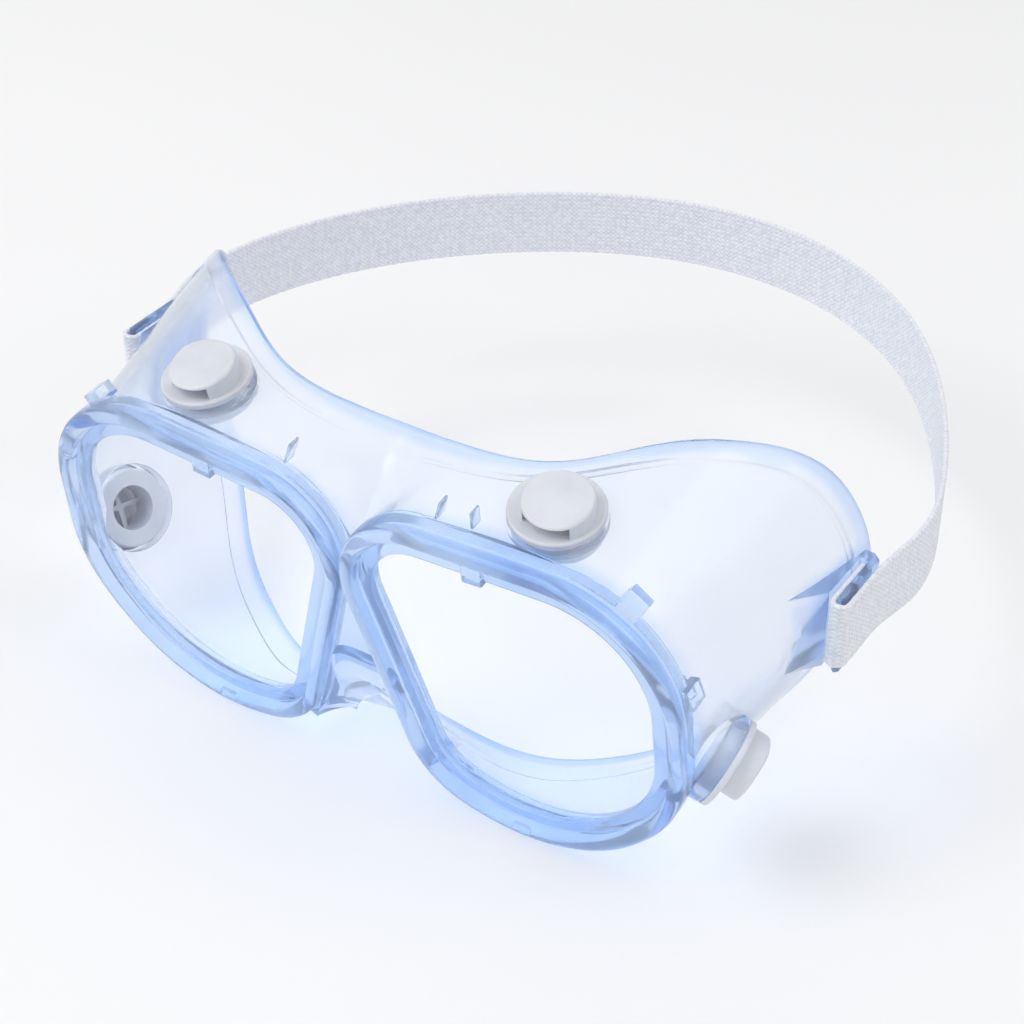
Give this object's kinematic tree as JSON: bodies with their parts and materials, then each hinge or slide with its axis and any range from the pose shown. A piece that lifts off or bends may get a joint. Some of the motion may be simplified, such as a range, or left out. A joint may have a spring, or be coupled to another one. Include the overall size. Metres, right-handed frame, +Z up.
{
  "type": "safety goggles",
  "caption": "Splash-proof safety goggles: soft clear face piece, two rigid lenses, indirect ventilators that turn in their seats and an elastic headband on side lugs.",
  "frame": {"origin": "bottom centre of the whole object's box, on the surface that it stands on", "axes": "+X to the wearer's left, +Y from the lenses back to the headband, +Z up"},
  "size_m": [0.1824, 0.164, 0.0848],
  "materials": {
    "soft_clear_vinyl": "soft clear vinyl with a pale blue tint, deeper blue where it is thick",
    "lens_polycarbonate": "clear polished polycarbonate",
    "vent_plastic": "light grey moulded plastic, satin",
    "elastic_webbing": "woven elastic with fine lengthwise ribs, off-white"
  },
  "bodies": {
    "goggle_body": {"face_piece": "soft_clear_vinyl", "lens_left": "lens_polycarbonate", "lens_right": "lens_polycarbonate", "strap_end_left": "elastic_webbing", "strap_end_right": "elastic_webbing"},
    "vent_top_left": {"vent_top_left_cap": "vent_plastic", "vent_top_left_baffle": "vent_plastic", "vent_top_left_plug": "vent_plastic", "vent_top_left_ring": "vent_plastic"},
    "vent_top_right": {"vent_top_right_cap": "vent_plastic", "vent_top_right_baffle": "vent_plastic", "vent_top_right_plug": "vent_plastic", "vent_top_right_ring": "vent_plastic"},
    "vent_side_left": {"vent_side_left_cap": "vent_plastic", "vent_side_left_baffle": "vent_plastic", "vent_side_left_plug": "vent_plastic", "vent_side_left_ring": "vent_plastic"},
    "vent_side_right": {"vent_side_right_cap": "vent_plastic", "vent_side_right_baffle": "vent_plastic", "vent_side_right_plug": "vent_plastic", "vent_side_right_ring": "vent_plastic"},
    "headband": {"strap_band": "elastic_webbing"}
  },
  "joints": [
    {"name": "vent_top_left_turn", "type": "hinge", "parent": "goggle_body", "child": "vent_top_left", "pos_m": [0.0408, -0.0659, 0.07809], "axis": [0.0599, -0.1996, 0.978], "continuous": true},
    {"name": "vent_top_right_turn", "type": "hinge", "parent": "goggle_body", "child": "vent_top_right", "pos_m": [-0.0408, -0.0659, 0.07809], "axis": [-0.0599, -0.1996, 0.978], "continuous": true},
    {"name": "vent_side_left_turn", "type": "hinge", "parent": "goggle_body", "child": "vent_side_left", "pos_m": [0.0752, -0.0595, 0.02919], "axis": [0.882, 0.1904, -0.431], "continuous": true},
    {"name": "vent_side_right_turn", "type": "hinge", "parent": "goggle_body", "child": "vent_side_right", "pos_m": [-0.0752, -0.0595, 0.02919], "axis": [-0.882, 0.1904, -0.431], "continuous": true},
    {"name": "headband_swing", "type": "hinge", "parent": "goggle_body", "child": "headband", "pos_m": [0, -0.0249, 0.05079], "axis": [1, 0, 0], "range_deg": [-15, 15], "stiffness_Nm_per_rad": 0.2}
  ]
}
